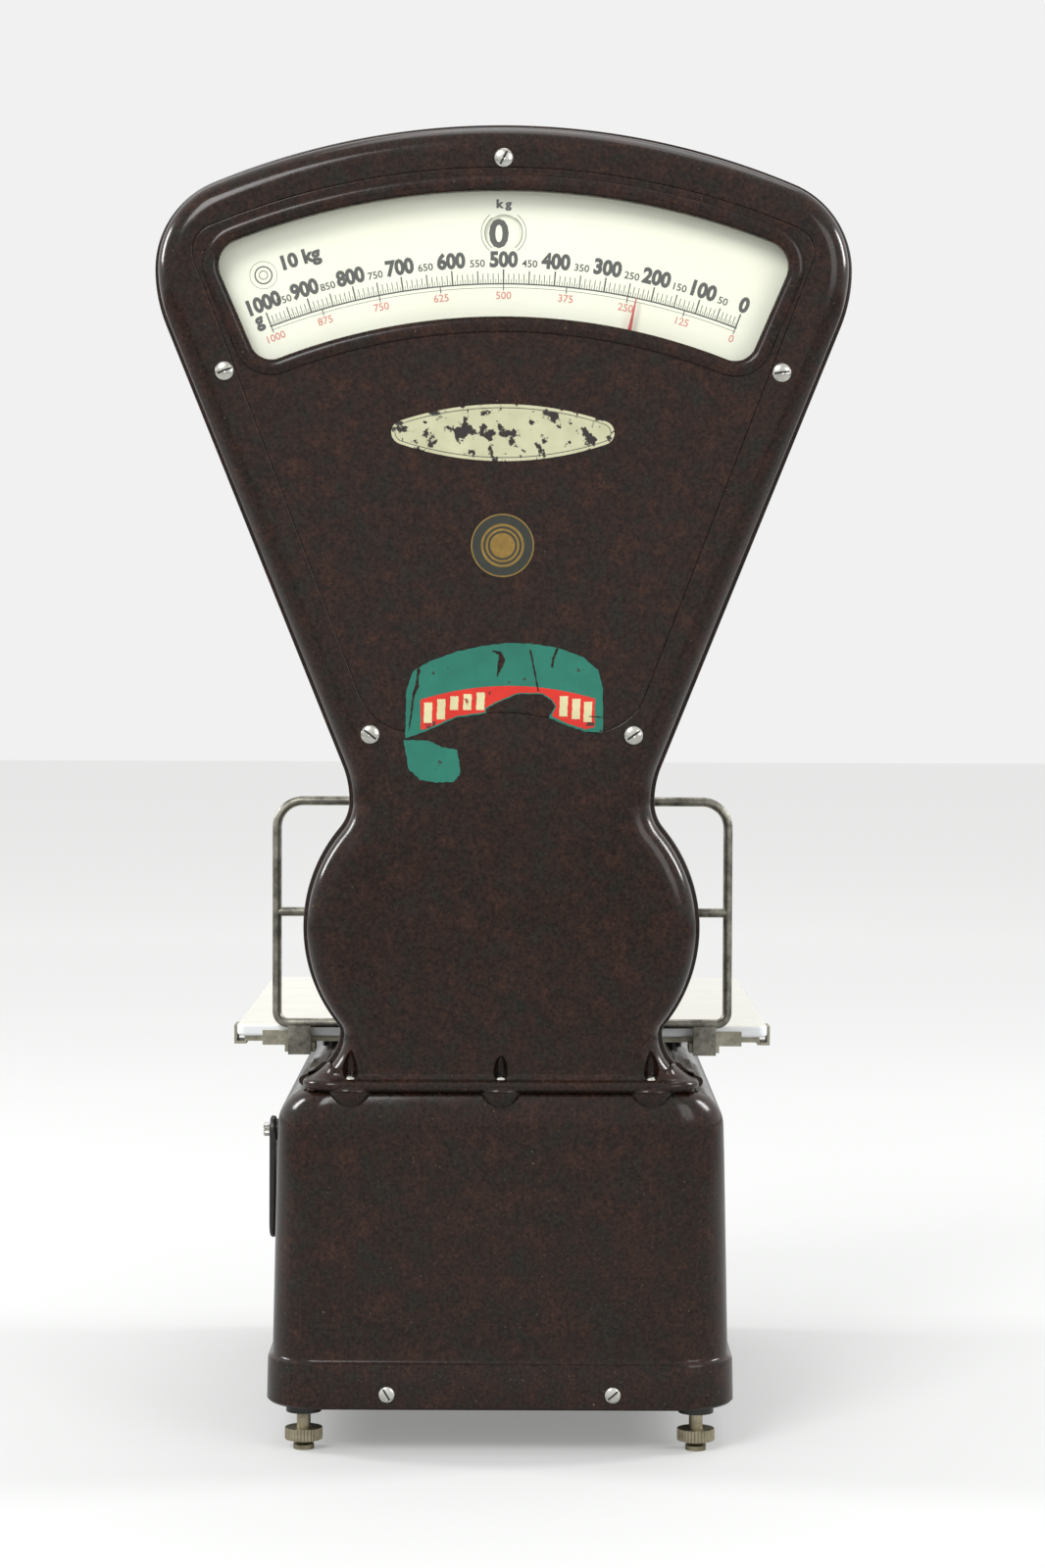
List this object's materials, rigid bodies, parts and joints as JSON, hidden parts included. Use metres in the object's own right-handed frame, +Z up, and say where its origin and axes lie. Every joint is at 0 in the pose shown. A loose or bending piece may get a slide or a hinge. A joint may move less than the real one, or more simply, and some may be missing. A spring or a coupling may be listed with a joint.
{
  "type": "grocery scale",
  "caption": "Counter scale with a goods plate of opal glass, a wire rail and a fan-shaped head with dial, window and pointer on both sides.",
  "frame": {"origin": "middle of the footprint's bounding box, on the table", "axes": "+Z up, -Y towards the customer's side with the head, +X to the right seen from that side"},
  "size_m": [0.3528, 0.391, 0.6722],
  "materials": {
    "bakelite": "glossy, mottled dark brown",
    "bakelite_rear": "glossy, mottled dark brown",
    "panel_lacquer": "brown enamel, slightly worn",
    "glass": "clear",
    "dial": "cream enamel with printed scale",
    "opal": "glossy opal glass",
    "plate_frame": "worn grey",
    "rail": "dull, pitted nickel",
    "nickel": "worn nickel",
    "steel": "bright",
    "dark_steel": "black enamel",
    "iron": "dark",
    "foot_steel": "dull, yellowish",
    "brass": "dull",
    "alloy": "cast, dull",
    "pointer_red": "red paint",
    "name_cream": "chipped",
    "badge": "worn, painted ring",
    "paper": "torn printed paper",
    "dark_plastic": "glossy",
    "rubber": "dull"
  },
  "bodies": {
    "base": {"base_housing": "bakelite", "base_frame": "iron", "frame_columns": "steel", "skirt_screws": "nickel", "foot_lock_nuts": "foot_steel", "front_cover": "bakelite", "rear_cover": "bakelite_rear", "front_panel": "panel_lacquer", "rear_panel": "panel_lacquer", "front_glass": "glass", "rear_glass": "glass", "glass_clips": "steel", "front_dial": "dial", "rear_dial": "dial", "name_plate": "name_cream", "round_badge": "badge", "paper_sticker": "paper", "cover_screws_front": "nickel", "cover_screws_rear": "nickel", "neck_screws": "nickel", "head_frame": "alloy", "shaft_bearings": "steel", "post_sleeves": "rubber", "link_pins": "steel", "fulcrum_stands": "steel", "dashpot_cylinder": "steel", "selector_bracket": "steel"},
    "pan": {"pan_plate": "opal", "pan_spider": "plate_frame", "goods_rail": "rail", "rail_screws": "foot_steel", "pan_posts": "dark_steel", "carrier_bridge": "dark_steel", "load_bearings": "steel"},
    "lever": {"main_lever": "iron", "lever_knives": "steel"},
    "link": {"check_link": "steel"},
    "pull": {"pull_rod": "steel", "pull_band": "steel"},
    "pendulum": {"pendulum_shaft": "steel", "quadrant": "brass", "pendulum_bob": "steel", "front_pointer": "pointer_red", "rear_pointer": "pointer_red"},
    "piston": {"dashpot_piston": "steel"},
    "hanger": {"weight_hanger": "steel"},
    "comb": {"lifting_comb": "steel", "lift_weights": "brass"},
    "selector": {"selector_lever": "dark_plastic", "selector_screw": "steel", "selector_shaft": "steel"},
    "upright": {"upright_shaft": "steel"},
    "counter": {"number_countershaft": "steel"},
    "number": {"number_shaft": "steel", "number_discs": "dial"},
    "foot_1": {"levelling_foot_1": "foot_steel"},
    "foot_2": {"levelling_foot_2": "foot_steel"},
    "foot_3": {"levelling_foot_3": "foot_steel"},
    "foot_4": {"levelling_foot_4": "foot_steel"}
  },
  "joints": [
    {"name": "pan_travel", "type": "slide", "parent": "base", "child": "pan", "axis": [0, 0, 1], "range_m": [-0.0057, 0.0016], "stiffness_N_per_m": 1362, "springref_m": 0.03261},
    {"name": "lever_turn", "type": "hinge", "parent": "base", "child": "lever", "pos_m": [0, 0.13, 0.12], "axis": [1, 0, 0], "range_deg": [-1.5, 4.8]},
    {"name": "link_turn", "type": "hinge", "parent": "base", "child": "link", "pos_m": [0, 0.13, 0.066], "axis": [1, 0, 0], "range_deg": [-1.5, 4.8]},
    {"name": "pull_travel", "type": "slide", "parent": "base", "child": "pull", "axis": [0, 0, 1], "range_m": [-0.0235, 0.0067]},
    {"name": "pendulum_turn", "type": "hinge", "parent": "base", "child": "pendulum", "pos_m": [0, -0.1406, 0.2655], "axis": [0, 1, 0], "range_deg": [-33.6, 9.5]},
    {"name": "piston_travel", "type": "slide", "parent": "base", "child": "piston", "axis": [0, 0, 1], "range_m": [-0.0189, 0.0054]},
    {"name": "hanger_travel", "type": "slide", "parent": "base", "child": "hanger", "axis": [0, 0, 1], "range_m": [-0.0067, 0.0235]},
    {"name": "selector_turn", "type": "hinge", "parent": "base", "child": "selector", "pos_m": [-0.115, -0.14, 0.1585], "axis": [1, 0, 0], "range_deg": [0, 324.1]},
    {"name": "comb_travel", "type": "slide", "parent": "base", "child": "comb", "axis": [0, 0, 1], "range_m": [-0.012, 0]},
    {"name": "upright_turn", "type": "hinge", "parent": "base", "child": "upright", "pos_m": [-0.057, -0.14, 0.35], "axis": [0, 0, 1], "range_deg": [0, 324.1]},
    {"name": "counter_turn", "type": "hinge", "parent": "base", "child": "counter", "pos_m": [-0.057, -0.14, 0.5851], "axis": [0, 1, 0], "range_deg": [-324.1, 0]},
    {"name": "number_turn", "type": "hinge", "parent": "base", "child": "number", "pos_m": [0, -0.1406, 0.5851], "axis": [0, 1, 0], "range_deg": [0, 324.1]},
    {"name": "foot_turn_1", "type": "hinge", "parent": "base", "child": "foot_1", "pos_m": [-0.0999, -0.1745, 0.012], "axis": [0, 0, 1], "range_deg": [-720, 720]},
    {"name": "foot_turn_2", "type": "hinge", "parent": "base", "child": "foot_2", "pos_m": [0.0999, -0.1745, 0.012], "axis": [0, 0, 1], "range_deg": [-720, 720]},
    {"name": "foot_turn_3", "type": "hinge", "parent": "base", "child": "foot_3", "pos_m": [0.0999, 0.1353, 0.012], "axis": [0, 0, 1], "range_deg": [-720, 720]},
    {"name": "foot_turn_4", "type": "hinge", "parent": "base", "child": "foot_4", "pos_m": [-0.0999, 0.1353, 0.012], "axis": [0, 0, 1], "range_deg": [-720, 720]}
  ],
  "couplings": [
    {"joint": "lever_turn", "follows": "pan_travel", "rad_per_m": -14.286},
    {"joint": "link_turn", "follows": "pan_travel", "rad_per_m": -14.286},
    {"joint": "pull_travel", "follows": "pan_travel", "ratio": 4.08},
    {"joint": "pendulum_turn", "follows": "pan_travel", "rad_per_m": 102},
    {"joint": "piston_travel", "follows": "pan_travel", "ratio": 3.2857},
    {"joint": "hanger_travel", "follows": "pan_travel", "ratio": -4.08},
    {"joint": "selector_turn", "follows": "comb_travel", "rad_per_m": -471.24},
    {"joint": "upright_turn", "follows": "comb_travel", "rad_per_m": -471.24},
    {"joint": "counter_turn", "follows": "comb_travel", "rad_per_m": 471.24},
    {"joint": "number_turn", "follows": "comb_travel", "rad_per_m": -471.24}
  ]
}
